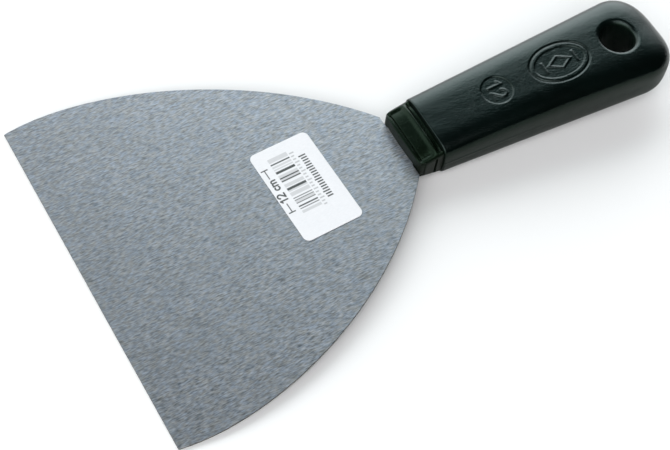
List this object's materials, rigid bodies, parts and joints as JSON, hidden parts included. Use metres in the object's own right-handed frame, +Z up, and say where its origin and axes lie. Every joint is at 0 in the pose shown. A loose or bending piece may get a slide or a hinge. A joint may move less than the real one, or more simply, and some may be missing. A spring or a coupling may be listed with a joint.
{
  "type": "ink knife",
  "caption": "Wide steel ink knife with a straight front edge, a moulded black plastic handle with a hang hole, a collar and a paper label.",
  "frame": {"origin": "On the surface that the knife lies on, under the middle of its bounding box.", "axes": "+X points from the blade's front edge to the butt of the handle, +Z is up, and the knife is symmetric about the XZ plane. It lies in its resting pose, on the front edge of the blade and the underside of the handle."},
  "size_m": [0.211, 0.1218, 0.0208],
  "materials": {
    "blade_steel": "rolled spring steel with a fine ground grain along its length",
    "collar_plastic": "black moulded plastic with a satin sheen",
    "handle_plastic": "black moulded plastic, satin gloss",
    "label_paper": null
  },
  "bodies": {
    "root": {"blade": "blade_steel", "collar": "collar_plastic", "handle": "handle_plastic", "label": "label_paper"}
  },
  "joints": []
}
